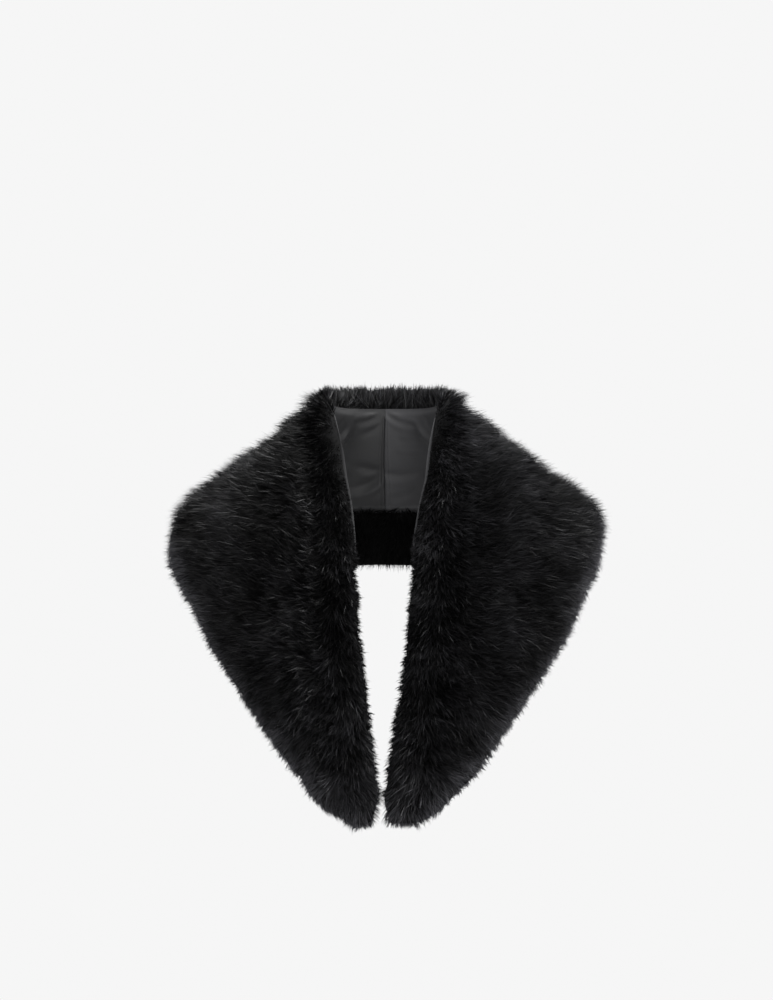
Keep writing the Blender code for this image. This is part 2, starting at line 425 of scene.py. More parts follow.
def closed_sheet(name, over, under, side, material):
    """A thin closed shell between two grids of points."""
    rows, columns = over.shape[:2]
    if side < 0:
        over, under = over[::-1], under[::-1]
    points = np.concatenate([over.reshape(-1, 3), under.reshape(-1, 3)])
    index = np.arange(rows * columns).reshape(rows, columns)
    ring = [index[:-1, :-1], index[1:, :-1], index[1:, 1:], index[:-1, 1:]]
    top = np.stack([corner.reshape(-1) for corner in ring], axis=1)
    bottom = top[:, ::-1] + rows * columns
    border = np.concatenate([index[:, 0], index[-1, 1:], index[-2::-1, -1], index[0, -2:0:-1]])
    after = np.roll(border, -1)
    walls = np.stack([after, border, border + rows * columns, after + rows * columns], axis=1)
    faces = np.concatenate([top, bottom, walls])
    mesh = bpy.data.meshes.new(name)
    mesh.from_pydata(points.tolist(), [], faces.tolist())
    mesh.shade_smooth()
    mesh.set_sharp_from_angle(angle=math.radians(60))
    return add_piece(name, mesh, material)


# How far a strand's two edges lie from its tone in the UVs.
TONE_WIDTH = 0.004


def ribbons(name, spine, half_width, sideways, tone, shares, material):
    """Flat strands as one mesh. Each strand has pairs of points along its spine and ends in one point.

    Its UVs hold the strand's tone across and the share from root to tip upwards, which the colour follows.
    """
    strands, steps = spine.shape[:2]
    pairs = steps - 1
    offset = sideways[:, None, :] * half_width[:, :pairs, None]
    doubled = np.stack([spine[:, :pairs] - offset, spine[:, :pairs] + offset], axis=2)
    points = np.concatenate([doubled.reshape(strands, 2 * pairs, 3), spine[:, pairs:]], axis=1)
    per_strand = 2 * pairs + 1
    pattern, totals = [], []
    for k in range(pairs - 1):
        pattern += [2 * k, 2 * k + 1, 2 * k + 3, 2 * k + 2]
        totals.append(4)
    pattern += [2 * pairs - 2, 2 * pairs - 1, 2 * pairs]
    totals.append(3)
    pattern, totals = np.array(pattern), np.array(totals)
    corners = (np.arange(strands)[:, None] * per_strand + pattern).reshape(-1)
    starts = np.concatenate([[0], np.cumsum(np.tile(totals, strands))[:-1]])
    u_offset = np.append(np.tile([-TONE_WIDTH, TONE_WIDTH], pairs), 0.0)
    v_share = np.append(np.repeat(shares[:pairs], 2), shares[pairs])
    u = (tone[:, None] + u_offset[pattern]).reshape(-1)
    v = np.tile(v_share[pattern], strands)
    mesh = bpy.data.meshes.new(name)
    mesh.vertices.add(strands * per_strand)
    mesh.vertices.foreach_set("co", points.astype(np.float32).reshape(-1))
    mesh.loops.add(len(corners))
    mesh.loops.foreach_set("vertex_index", corners.astype(np.int32))
    mesh.polygons.add(len(starts))
    mesh.polygons.foreach_set("loop_start", starts.astype(np.int32))
    uv = mesh.uv_layers.new(name="OFBake")
    uv.data.foreach_set("uv", np.stack([u, v], axis=1).astype(np.float32).reshape(-1))
    mesh.update(calc_edges=True)
    mesh.shade_smooth()
    return add_piece(name, mesh, material)



# Fur.


class Coat(NamedTuple):
    """One layer of hair: how many strands a half has, and their sizes in millimetres and degrees."""

    name: str
    strands: int
    points: int
    length: float
    width: float
    root_lean: float
    tip_lean: float
    spread: float
    fullness: float
    raggedness: float
    past: float
    clump: float
    seed: int


COATS = (
    Coat("inner", 34000, 3, 30, 0.85, 22, 60, 12, 0.82, 0.08, 0.0, 3.4, 11),
    Coat("outer", 58000, 3, 28, 0.60, 18, 50, 15, 0.95, 0.06, 0.3, 3.0, 12),
    Coat("guard", 12000, 4, 25, 0.50, 22, 56, 18, 1.00, 0.07, 1.0, 3.0, 13),
    Coat("fringe", 15000, 3, 22, 0.60, 20, 42, 18, 1.00, 0.05, 2.0, 2.2, 14),
)
PELT_HEIGHT = 0.42
ROOT_DEPTH = 0.12

# The clumps that the tips draw together in, small ones inside large ones.
SMALL_CLUMP = 3.4 * MM
LARGE_CLUMP = 13 * MM
SMALL_PULL = 0.5
LARGE_PULL = 0.08
SMALL_SWIRL = 0.8
LARGE_SWIRL = 0.4
LARGE_SEED = 7000
TUFT_SEED = 5000
STRIP_WIDEST = 0.3

# How the leans differ, in degrees, and how much of its bend a strand keeps where the hair stands up.
CLUMP_LEAN = 10
STRAND_LEAN = 6
LEAST_BEND = 0.1
STANDING_BEND = 0.35

# Slow unevenness by place: its amount, the size of its waves and its seed.
SWIRL_WAVES = ((0.20, 70 * MM, 51), (0.12, 26 * MM, 61))
LENGTH_WAVES = ((0.04, 45 * MM, 71),)
INNER_LENGTH_WAVES = ((0.05, 19 * MM, 73),)
TONE_WAVES = ((0.09, 55 * MM, 81), (0.11, 16 * MM, 83))
PELT_WAVES = ((0.12, 14 * MM, 91),)
LIP_WAVES = ((0.25, 16 * MM, 33),)


class Lie(NamedTuple):
    """How the hair of the fronts lies at one height in millimetres: degrees above the outward direction."""

    height: float
    left: float
    right: float


LIES = (
    Lie(90, 34, 30),
    Lie(30, 18, 8),
    Lie(-60, 12, -8),
    Lie(-170, 6, -13),
    Lie(-205, -20, -26),
    Lie(-240, -48, -50),
    Lie(-300, -70, -70),
    Lie(-360, -82, -80),
)

# From the back the hair turns to the fronts' own lie just before the shoulder ridge and past it.
FRONT_LIE_FROM = 0.72 * SHOULDER_RIDGE
FRONT_LIE_TURN = 0.55 * SHOULDER_RIDGE

# Beside the front opening the hair hangs straight down.
DOWN_BAND = 26 * MM
DOWN_BAND_END = 54 * MM
DOWN_ANGLE = -94

# Over the back of the neck the hair stands up at the edge and turns down below it.
UP_BAND = 10 * MM
DOWN_FROM = 44 * MM
STANDING = 0.35
STANDING_FROM = 0 * MM
STANDING_FULL = 60 * MM

# Beside the neck the hair lies sleek and ends short of the lining's turned edge.
SLEEK_TOP = 66 * MM
SLEEK_BOTTOM = -104 * MM
SLEEK_FADE = 16 * MM
SLEEK_RUN_OUT = 60 * MM
SLEEK_BAND = 24 * MM
SLEEK_SHORT = 3.5 * MM

# Near the hem the hair turns to it, and at every free edge it tilts over the edge.
HEM_BAND = 45 * MM
HEM_SHARE = 0.75
EDGE_TILT = 1.3

# At the free edges the tips gather in tufts, which reach past the fur's outer side by different lengths.
TUFT = 2.5 * MM
TUFT_DEPTH = 6.5 * MM
TUFT_MIDDLE = 0.58
TUFT_PULL = 0.65
PAST_MOST = 3.0 * MM

# At the tips of the strip the hair is rougher.
TIPS_TOP = -240 * MM
TIPS_HEIGHT = 90 * MM
TIPS_PAST = 0.9
TIPS_TUFTS = 0.5
UPRIGHT_PAST = 0.2

# How the lengths differ: by clump, by patch, and in the clumps that stand proud on the shoulders.
CLUMP_LENGTH = 0.34
PATCH_LENGTH = 0.25
SHORTEST = 0.5
LONGEST = 1.15
PROUD = 0.14
PROUD_FROM = 0.8
PROUD_BOTTOM = -80 * MM
PROUD_FADE = 50 * MM

# How light a strand is, before the scale and the power bring it into the range of the hair's colours.
TONE_MIDDLE = 0.42
TONE_CLUMPS = 0.6
TONE_STRANDS = 0.15
TONE_TIPS = 0.36
# Painted highlight: the hair along the front edges beside the neck is painted lighter, as its tips catch the
# light there.
SLEEK_EDGE_HIGHLIGHT = 0.4
SLEEK_HIGHLIGHT_BAND = 7 * MM
# Painted light: the hair over the back and sides, which the lamps light little, is painted lighter.
BACK_PAINTED_LIGHT = 0.24
BACK_FROM = -10 * MM
BACK_FADE = 40 * MM
TONE_LEAST = 0.01
TONE_MOST = 1.41
TONE_SCALE = 0.70
TONE_POWER = 2.0
TONE_ENDS = (0.01, 0.99)

# Painted rim light: the tips along the hems and round the strip's ends are painted lighter, over a band of
# its own width on each side.
PAINTED_RIM_LIGHT = 0.95
PAINTED_RIM_LEFT = 19 * MM
PAINTED_RIM_RIGHT = 20 * MM

# The hair that shows from inside: how many places are tried, and how many strands stay short.
LIP_DRAWS = 120000
LIP_SHORT = 0.55
LIP_OVER = 1.6 * MM
LIP_TONE = 0.61
# Painted rim light on the lip hair past the hems and the strip's end.
LIP_PAINTED_RIM_LIGHT = 0.25
LIP_HALF_WIDTH = 0.38 * MM
LIP_SEED = 31
LIP_CLUMP_SEED = 3100


class Patch(NamedTuple):
    """A place in the front view where the fur is raised, with painted highlight in its tone, or hollow, with
    painted shade, in millimetres.
    """

    x: float
    z: float
    size: float
    change: float


RELIEF_AND_PAINTED_LIGHT_PATCHES = (
    # The left half.
    Patch(-105, -40, 80, -0.12),
    Patch(-66, 40, 36, -0.26),
    Patch(-92, 30, 24, -0.55),
    Patch(-84, -12, 24, -0.36),
    Patch(-84, -60, 34, -0.30),
    Patch(-86, -130, 34, -0.22),
    Patch(-58, -170, 22, -0.16),
    Patch(-150, -45, 26, 0.22),
    Patch(-181, -60, 18, -0.55),
    Patch(-208, -95, 22, 0.70),
    Patch(-196, -130, 22, 0.40),
    Patch(-120, 4, 26, 0.24),
    Patch(-84, 64, 22, 0.22),
    Patch(-36, -98, 14, 0.36),
    # The right half.
    Patch(110, 10, 70, 0.12),
    Patch(58, 20, 28, 0.26),
    Patch(86, -10, 22, -0.20),
    Patch(108, -70, 24, 0.14),
    Patch(84, 60, 26, 0.44),
    Patch(112, 22, 24, 0.22),
    Patch(206, -64, 38, 0.32),
    Patch(140, -130, 32, -0.14),
    Patch(156, -56, 24, -0.18),
    Patch(150, 4, 20, 0.22),
    Patch(176, 0, 24, 0.24),
    Patch(40, -160, 30, -0.16),
    Patch(36, -74, 14, 0.36),
    Patch(18, -300, 28, -0.18),
)
PATCHES_BACK = 30 * MM

# Patches of painted shade and painted highlight for the hair that shows above the lining, which change only
# its tone.
LIP_PAINTED_LIGHT_PATCHES = (
    Patch(-38, 84, 14, -0.40),
    Patch(50, 82, 16, 0.30),
)


def uneven(points, rows, side):
    """The sum of the waves in rows at points of one half."""
    return sum(amount * waves(points, size, seed + side) for amount, size, seed in rows)


def patches(points, rows):
    """The sum of the patches in rows at points."""
    return sum(row.change * bell(points[:, 0], points[:, 2], row) for row in rows)


def scattered(count, draw):
    """Shares along and across the strip, spread evenly over one half."""
    rows, columns = 160, 40
    at_lines = np.linspace(0, ROOTS_END, rows + 1)
    lines = strip_points(*grid(at_lines, *rooted_band(at_lines), columns)).reshape(rows + 1, columns + 1, 3)
    corner = np.cross(lines[1:, 1:] - lines[:-1, :-1], lines[1:, :-1] - lines[:-1, 1:])
    area = np.linalg.norm(corner, axis=2).reshape(-1)
    cell = draw.choice(rows * columns, size=count, p=area / area.sum())
    at = (cell // columns + draw.random(count)) / rows * ROOTS_END
    first, last = rooted_band(at)
    return at, first + (last - first) * (cell % columns + draw.random(count)) / columns


def clumped(along, over, size, seed):
    """For places along and over the strip: the way to the nearest clump's centre, and its draws."""
    draw = np.random.default_rng(seed)
    rows, columns = int(STRIP_LENGTH / size) + 4, int(STRIP_WIDEST / size) + 4
    table = draw.random((rows, columns, 6))
    i, j = np.floor(along / size).astype(int) + 1, np.floor(over / size).astype(int) + 1
    best = np.full(len(along), 1e9)
    away = np.zeros((len(along), 2))
    picked = np.zeros((len(along), 4))
    for di in (-1, 0, 1):
        for dj in (-1, 0, 1):
            cell = table[i + di, j + dj]
            to_along = (i + di - 1 + cell[:, 0]) * size - along
            to_over = (j + dj - 1 + cell[:, 1]) * size - over
            distance = to_along**2 + to_over**2
            near = distance < best
            best = np.where(near, distance, best)
            away[near] = np.stack([to_along, to_over], axis=1)[near]
            picked[near] = cell[near, 2:]
    return away, picked


def dot(a, b):
    return (a * b).sum(axis=-1)


def on_surface(vectors, normal):
    return vectors - dot(vectors, normal)[:, None] * normal


def turned(vectors, normal, angle):
    """Vectors on the surface, turned round its normal."""
    return vectors * np.cos(angle)[:, None] + np.cross(normal, vectors) * np.sin(angle)[:, None]


def front_lie(height, from_edge, side):
    """The direction of the hair on the fronts, as a vector in the front view."""
    angle = by_height(LIES, word_of(side), height)
    beside_opening = 1 - smooth_step((from_edge - DOWN_BAND) / (DOWN_BAND_END - DOWN_BAND))
    angle = np.radians(angle + (DOWN_ANGLE - angle) * beside_opening)
    return np.stack([np.cos(angle), np.zeros(len(angle)), np.sin(angle)], axis=1)


def uprightness(place):
    """1 at the top of the collar, where the hair stands up, falling to 0 on the shoulders."""
    return smooth_step((place.cloth[:, 2] - STANDING_FROM) / (STANDING_FULL - STANDING_FROM))


def near_outline(place):
    """1 at the fur's free edges, falling to 0 inside."""
    return smooth_step(1 - from_outline(place) / NECK_ROUND)


def near_tips(place):
    """1 at the tips of the strip, falling to 0 above them."""
    return smooth_step((TIPS_TOP - place.cloth[:, 2]) / TIPS_HEIGHT)


def sleekness(place):
    """1 along the front edges beside the neck, 0 elsewhere."""
    height = place.cloth[:, 2]
    below = smooth_step((SLEEK_TOP - height) / SLEEK_FADE)
    above = smooth_step((height - SLEEK_BOTTOM) / SLEEK_RUN_OUT)
    in_front = smooth_step((place.at - SHOULDER_RIDGE) / (0.3 * SHOULDER_RIDGE))
    return below * above * in_front * smooth_step(2 - place.from_edge / SLEEK_BAND)


def lie_of(place, side):
    """Where the hair points along the surface. The vector is shorter where it stands up."""
    front = smooth_step((place.at - FRONT_LIE_FROM) / FRONT_LIE_TURN)[:, None]
    turning = smooth_step((place.from_edge - UP_BAND) / (DOWN_FROM - UP_BAND))[:, None]
    back_way = place.to_hem * (2 * turning - 1)
    front_way = unit(on_surface(front_lie(place.cloth[:, 2], place.from_edge, side), place.normal))
    way = back_way * (1 - front) + front_way * front * (1 - STANDING * uprightness(place)[:, None])
    near_hem = HEM_SHARE * smooth_step(1 - place.from_hem / HEM_BAND)[:, None]
    return on_surface(way * (1 - near_hem) + place.to_hem * near_hem, place.normal)


def edge_tilt(place):
    """How the roots near the free edges tilt over them."""
    over_hem = smooth_step(1 - place.from_hem / HEM_ROUND) - smooth_step(1 - place.from_edge / NECK_ROUND)
    over_tip = smooth_step(1 - place.from_tip / TIP_ROUND)
    return EDGE_TILT * (place.to_hem * over_hem[:, None] + place.to_tip * over_tip[:, None])


# The steps in which a strand's length is found, and how far from square the strip's two ways may be.
FIT_STEPS = 9
MOST_SKEW = 0.85


def along_and_over(place, reach):
    """How far a reach goes along and over the strip, whose two ways don't cross squarely."""
    skew = np.clip(dot(place.to_tip, place.to_hem), -MOST_SKEW, MOST_SKEW)
    with_tip, with_hem = dot(reach, place.to_tip), dot(reach, place.to_hem)
    along = (with_tip - skew * with_hem) / (1 - skew**2)
    over = (with_hem - skew * with_tip) / (1 - skew**2)
    return along, over * np.where(over < 0, place.edge_stretch, place.hem_stretch)


def fitted(place, root_depth, reach, longest, past):
    """The length at which a strand is so far past the fur's outer side. Its tip is at reach for length 1."""
    rise = dot(reach, place.normal)
    along, over = along_and_over(place, reach)
    low, high = np.zeros(len(longest)), longest.copy()
    for _ in range(FIT_STEPS):
        middle = (low + high) / 2
        top = pile_depths(place, along * middle, over * middle)[1]
        inside = root_depth + rise * middle <= top + past
        inside &= from_outline(place, along * middle, over * middle) > -past
        low, high = np.where(inside, middle, low), np.where(inside, high, middle)
    return low


def bowed(root, up, way, length, root_lean, tip_lean, shares):
    """Spines that start near the upward direction and bow over in the way that the hair lies."""
    lean = root_lean[:, None] + (tip_lean - root_lean)[:, None] * shares
    bend = np.maximum(tip_lean - root_lean, 1e-3)[:, None]
    rise = (np.sin(lean) - np.sin(root_lean)[:, None]) / bend
    run = (np.cos(root_lean)[:, None] - np.cos(lean)) / bend
    rise, run = rise * length[:, None], run * length[:, None]
    return root[:, None] + up[:, None] * rise[..., None] + way[:, None] * run[..., None]


def rolled(spine, normal, draw, most):
    """The direction of each strand's width: flat on the surface, rolled by up to so many radians."""
    direction = unit(spine[:, -1] - spine[:, 0])
    flat = unit(np.cross(direction, normal))
    roll = draw.uniform(-most, most, len(spine))
    return flat * np.cos(roll)[:, None] + np.cross(direction, flat) * np.sin(roll)[:, None]


def on_strip(to_tip, to_hem, away):
    """Distances along and over the strip as vectors."""
    return to_tip * away[:, :1] + to_hem * away[:, 1:]


def gathered(spine, move, shares):
    """Spines whose tips are moved, and their lower parts less."""
    return spine + move[:, None] * (shares**1.4)[:, None]


def half_widths(count, half_width, taper, shares, draw):
    """Half the width of each strand at its shares. They differ by up to 30 %."""
    return half_width * draw.uniform(0.7, 1.3, count)[:, None] * (1 - taper * shares**2)


def in_range(tone):
    """Tones in the range of the hair's colours. The first two strands mark its ends."""
    tone = (TONE_SCALE * np.clip(tone, TONE_LEAST, TONE_MOST)) ** TONE_POWER
    tone[:2] = TONE_ENDS
    return tone


def hair_half(name, side, spine, half_width, sideways, tone, shares, material):
    """Strands of one half, placed on its side."""
    name = f"fur_{word_of(side)}_{name}"
    sideways = sideways * np.array([side, 1, 1])
    return ribbons(name, placed(spine, side), half_width, sideways, tone, shares, material)


def sheet_half(name, over, under, shape, seam, side, material):
    """A closed sheet of one half, placed on its side. At the centre back it ends at the seam."""
    for points in (over, under):
        points[:, 0] = np.maximum(points[:, 0], seam)
    over, under = (placed(points, side).reshape(*shape, 3) for points in (over, under))
    return closed_sheet(f"{name}_{word_of(side)}", over, under, side, material)


def tufts(place, reach, side):
    """The tufts at the free edges: the way from a tip to the nearest one, and its draw."""
    along, over = along_and_over(place, reach)
    along, over = place.at * STRIP_LENGTH + along, place.from_edge + over
    free = np.stack([over, place.from_edge + place.from_hem - over, STRIP_LENGTH - along])
    nearest = np.argmin(free, axis=0)
    by_tip = nearest == 2
    line = np.clip(np.where(by_tip, over, along), 0, STRIP_LENGTH)
    away, picked = clumped(line, nearest * 5 * TUFT, TUFT, TUFT_SEED + (side > 0))
    way = np.where(by_tip[:, None], place.to_hem, place.to_tip)
    return way * away[:, :1], picked[:, 0]


def coat_shares(coat, place, side, small, relief_and_painted_light, draw):
    """How much of its full length each strand has. small holds the draws of its clump."""
    share = coat.fullness + uneven(place.cloth, LENGTH_WAVES, side)
    share += uneven(place.cloth, INNER_LENGTH_WAVES, side) * (1 - near_outline(place))
    share += CLUMP_LENGTH * (small[:, 1] - 0.5) + PATCH_LENGTH * relief_and_painted_light
    proud = np.maximum(small[:, 1] - PROUD_FROM, 0) / (1 - PROUD_FROM)
    on_shoulders = smooth_step((place.cloth[:, 2] - PROUD_BOTTOM) / PROUD_FADE)
    share += PROUD * proud * on_shoulders * (1 - sleekness(place))
    return np.clip(share + coat.raggedness * draw.normal(size=len(share)), SHORTEST, LONGEST + PROUD)


def coat_tones(place, side, reach, small, relief_and_painted_light, draw):
    """How light each strand is, by its place and its clump, with painted light: patches of painted highlight
    and shade, a painted highlight beside the neck, painted light over the back, and painted rim light as its
    tip nears the hems and the strip's ends.
    """
    tone = TONE_MIDDLE + uneven(place.cloth, TONE_WAVES, side) + TONE_CLUMPS * (small[:, 2] - 0.5)
    tone += TONE_TIPS * near_tips(place) + relief_and_painted_light + TONE_STRANDS * draw.normal(size=len(relief_and_painted_light))
    # Painted highlight on the sleek hair along the front edges beside the neck.
    tone += SLEEK_EDGE_HIGHLIGHT * sleekness(place) * smooth_step(1.6 - place.from_edge / SLEEK_HIGHLIGHT_BAND)
    # Painted light on the hair over the back and sides.
    tone += BACK_PAINTED_LIGHT * smooth_step((place.cloth[:, 1] - BACK_FROM) / BACK_FADE)
    # Painted rim light where the tip nears the hems and the strip's ends.
    tip_along, tip_over = along_and_over(place, reach)
    to_rim = np.minimum(place.from_hem - tip_over, place.from_tip - tip_along)
    tone += PAINTED_RIM_LIGHT * (1 - smooth_step(to_rim / (PAINTED_RIM_RIGHT if side > 0 else PAINTED_RIM_LEFT)))
    return in_range(tone)


def coat_half(coat, side, material):
    """One layer of hair on one half of the wrap."""
    draw = np.random.default_rng(coat.seed * 10 + (side > 0))
    count = coat.strands
    place = places(*scattered(count, draw))
    along = place.at * STRIP_LENGTH
    small_away, small = clumped(along, place.from_edge, coat.clump * MM, coat.seed * 100 + (side > 0))
    large_away, large = clumped(along, place.from_edge, LARGE_CLUMP, LARGE_SEED + (side > 0))
    swirl = uneven(place.cloth, SWIRL_WAVES, side) + math.radians(coat.spread) * draw.normal(size=count)
    swirl += SMALL_SWIRL * (small[:, 0] - 0.5) + LARGE_SWIRL * (large[:, 0] - 0.5)
    way = turned(lie_of(place, side), place.normal, swirl)
    strength = np.clip(np.linalg.norm(way, axis=1), 0, 1)
    up = unit(place.normal + edge_tilt(place))
    way = unit(on_surface(unit(way), up))

    bend = coat.tip_lean - coat.root_lean + CLUMP_LEAN * (large[:, 1] - 0.5)
    bend = np.radians(bend + STRAND_LEAN * draw.normal(size=count))
    bend = np.maximum(bend, LEAST_BEND) * (STANDING_BEND + (1 - STANDING_BEND) * strength)
    root_lean = np.radians(coat.root_lean) * strength
    tip_lean = root_lean + bend
    shares = np.linspace(0, 1, coat.points) ** 0.75

    under, over = pile_depths(place)
    root_depth = under + ROOT_DEPTH * (over - under)
    reach = bowed(np.zeros((count, 3)), up, way, np.ones(count), root_lean, tip_lean, shares[-1:])[:, 0]
    longest = np.full(count, 1.25 * coat.length * MM)
    outline, tips, loose = near_outline(place), near_tips(place), 1 - sleekness(place)
    past = coat.past * MM * (0.3 + 1.4 * small[:, 3])
    past *= 1 + TIPS_PAST * tips * outline + UPRIGHT_PAST * uprightness(place)
    past = past * loose - SLEEK_SHORT * (1 - loose)
    length = fitted(place, root_depth, reach, longest, past)
    tuft_way, tuft = tufts(place, reach * length[:, None], side)
    past += TUFT_DEPTH * (tuft - TUFT_MIDDLE) * outline * loose * (1 + TIPS_TUFTS * tips)
    length = fitted(place, root_depth, reach, longest, np.minimum(past, PAST_MOST))
    # Patches of painted highlight and painted shade in the tone, which also make the hair longer or shorter,
    # on the front only.
    relief_and_painted_light = patches(placed(place.cloth, side), RELIEF_AND_PAINTED_LIGHT_PATCHES)
    relief_and_painted_light *= smooth_step((PATCHES_BACK - place.cloth[:, 1]) / PATCHES_BACK)
    length = length * coat_shares(coat, place, side, small, relief_and_painted_light, draw)

    root = place.cloth + place.normal * root_depth[:, None]
    spine = bowed(root, up, way, length, root_lean, tip_lean, shares)
    drawn_in = on_strip(place.to_tip, place.to_hem, small_away * SMALL_PULL + large_away * LARGE_PULL)
    drawn_in = drawn_in * (1 - 0.8 * outline)[:, None] + tuft_way * (TUFT_PULL * outline)[:, None]
    spine = gathered(spine, drawn_in, shares)
    sideways = rolled(spine, place.normal, draw, 0.7)
    half_width = half_widths(count, coat.width / 2 * MM, 0.25, shares, draw)
    tone = coat_tones(place, side, reach * length[:, None], small, relief_and_painted_light, draw)
    return hair_half(coat.name, side, spine, half_width, sideways, tone, shares, material)


def collar_back(at):
    """1 over the back of the neck, falling to 0 before the shoulders."""
    return 1 - smooth_step((at - 0.5 * SHOULDER_RIDGE) / (0.4 * SHOULDER_RIDGE))


def lip_half(side, material):
    """The hair that shows from inside, where the fur reaches past the lining at its free edges."""
    draw = np.random.default_rng(LIP_SEED + (side > 0))
    place = places(*scattered(LIP_DRAWS, draw))
    past_edge = 1 - place.from_edge / place.edge_reach
    past_hem = np.where(place.open_hem > 0.5, 1 - place.from_hem / place.hem_reach, -1)
    past_tip = 1 - place.from_tip / place.hem_reach
    past_lining = np.stack([past_edge, past_hem, past_tip])
    keep = past_lining.max(axis=0) > -0.06 - 0.16 * collar_back(place.at)
    place = Place(*(column[keep] for column in place))
    best = np.argmax(past_lining[:, keep], axis=0)
    count = len(best)
    sleek = sleekness(place)
    outward = np.stack([-place.to_hem, place.to_hem, place.to_tip])[best, np.arange(count)]
    seed = LIP_CLUMP_SEED + (side > 0)
    small_away, small = clumped(place.at * STRIP_LENGTH, place.from_edge, SMALL_CLUMP, seed)
    swirl = 0.22 * draw.normal(size=count) + SMALL_SWIRL * (small[:, 0] - 0.5)
    swirl += uneven(place.cloth, LIP_WAVES, side)
    outward = turned(outward, place.normal, swirl)
    root_lean = np.radians(draw.uniform(92, 116, count))
    tip_lean = root_lean - np.radians(draw.uniform(8, 30, count))
    shares = np.array([0, 0.6, 1])
    over = LIP_OVER * (1 + 1.2 * (small[:, 1] - 0.5) + 0.5 * draw.normal(size=count))
    over += TUFT_DEPTH * (tufts(place, outward * from_outline(place)[:, None], side)[1] - 0.55)
    over -= (over + SLEEK_SHORT) * sleek
    length = np.maximum(from_outline(place) + over, 1 * MM)
    length *= np.where(draw.random(count) < LIP_SHORT, draw.uniform(0.35, 0.95, count), 1)
    root = place.cloth + place.normal * pile_depths(place)[0][:, None]
    lean = root_lean[:, None] + (tip_lean - root_lean)[:, None] * shares
    step = length[:, None] * shares
    spine = (
        root[:, None]
        + outward[:, None] * (np.sin(lean) * step)[..., None]
        + place.normal[:, None] * (np.cos(lean) * step)[..., None]
    )
    spine = gathered(spine, on_strip(place.to_tip, place.to_hem, small_away * SMALL_PULL), shares)
    sideways = rolled(spine, place.normal, draw, 0.9)
    half_width = half_widths(count, LIP_HALF_WIDTH, 0.35, shares, draw)
    # Painted light in the lip's tone: a painted highlight on the sleek hair beside the neck, painted rim
    # light past the hems and the strip's end, and the patches of painted shade and highlight.
    tone = LIP_TONE + TONE_CLUMPS * (small[:, 2] - 0.5) + 0.2 * draw.normal(size=count) + 0.3 * sleek
    tone += LIP_PAINTED_RIM_LIGHT * (best > 0) + patches(placed(place.cloth, side), LIP_PAINTED_LIGHT_PATCHES)
    return hair_half("lip", side, spine, half_width, sideways, in_range(tone), shares, material)


def pelt_half(side, material):
    """The dense base of the pile, which the strands stand in."""
    rows, columns = 110, 30
    at_lines = ROOTS_END * np.linspace(0, 1, rows + 1)
    place = places(*grid(at_lines, *rooted_band(at_lines), columns))
    under, over = pile_depths(place)
    core = PELT_HEIGHT * (1 + uneven(place.cloth, PELT_WAVES, side)) * (over - under)
    points_over = place.cloth + place.normal * (under + core + 0.6 * MM)[:, None]
    points_under = place.cloth + place.normal * (under + 0.2 * MM)[:, None]
    return sheet_half("pelt", points_over, points_under, (rows + 1, columns + 1), 0, side, material)


# Lining.


class Fold(NamedTuple):
    """A soft fold of the lining in millimetres: its ends, along the strip and down from the neck edge.

    Its side is -1 or 1, or 0 where both panels have it. A height above 0 is a ridge towards the wearer.
    """

    side: int
    start: tuple
    end: tuple
    width: float
    height: float


FOLDS = (
    # The left of the back of the neck.
    Fold(-1, (0, 26), (56, 37), 2.2, 0.8),
    Fold(-1, (2, 30.5), (54, 42), 2.4, -0.9),
    Fold(-1, (2, 36), (40, 46), 3, 0.8),
    Fold(-1, (6, 42), (40, 54), 3.5, -0.5),
    Fold(-1, (4, 91), (54, 89), 3.2, -1.3),
    Fold(-1, (6, 100), (50, 101), 6, 0.6),
    Fold(-1, (3, 107), (27, 123), 3, 1.9),
    Fold(-1, (8, 100), (38, 117), 4, -1.4),
    # The right of it.
    Fold(1, (3, 27), (54, 40), 2.4, 0.8),
    Fold(1, (3, 31.5), (54, 45), 2.4, -0.9),
    Fold(1, (5, 38), (52, 51), 3, 0.6),
    Fold(1, (28, 60), (50, 62), 3, -0.4),
    Fold(1, (26, 72), (50, 75), 3, 0.4),
    Fold(1, (4, 95.5), (46, 98.5), 2.6, -1.5),
    Fold(1, (6, 105), (46, 106), 4.5, 0.8),
    Fold(1, (10, 122), (40, 117), 4, -0.9),
    # Over the shoulders and down the fronts, on the sides that are turned to the wearer.
    Fold(0, (70, 60), (118, 96), 7, 2.2),
    Fold(0, (92, 48), (140, 88), 5, -1.6),
    Fold(0, (128, 46), (168, 92), 6, 2.4),
    Fold(0, (190, 28), (262, 62), 5, 2.8),
    Fold(0, (204, 56), (288, 76), 5, -1.8),
    Fold(0, (250, 26), (330, 44), 4, -1.9),
    Fold(0, (282, 34), (352, 58), 4.5, 2.6),
    Fold(0, (336, 60), (404, 40), 4.5, 2.4),
    Fold(0, (352, 22), (420, 32), 3.5, -1.7),
    Fold(0, (392, 18), (462, 30), 3.5, 2.2),
    Fold(0, (430, 34), (490, 20), 3, -1.6),
)
FOLD_SIZE = 0.85
HIDDEN_FOLD_SIZE = 1.5
HIDDEN_FOLD_SHIFT = (6 * MM, 4 * MM)
FOLD_BASE = 1.0 * MM
FOLD_EDGE = 7 * MM
FOLD_ENDS = 2.2
FOLD_BOW = 0.12

# The pressed seam at the centre back, a sharp groove with ridges beside it: the distance from the seam, the
# size and the height of each in millimetres.
SEAM_RIDGES = ((0.0, 0.35, -0.6), (2.6, 1.1, 0.3), (4.8, 0.9, -0.12), (6.8, 1.0, 0.18))

# The panel's lines, which lie closer at the centre back and at its upper edge.
LINING_ROWS = 160
LINING_COLUMNS = 50
CLOSER_ROWS = 1.6
CLOSER_COLUMNS = 1.15

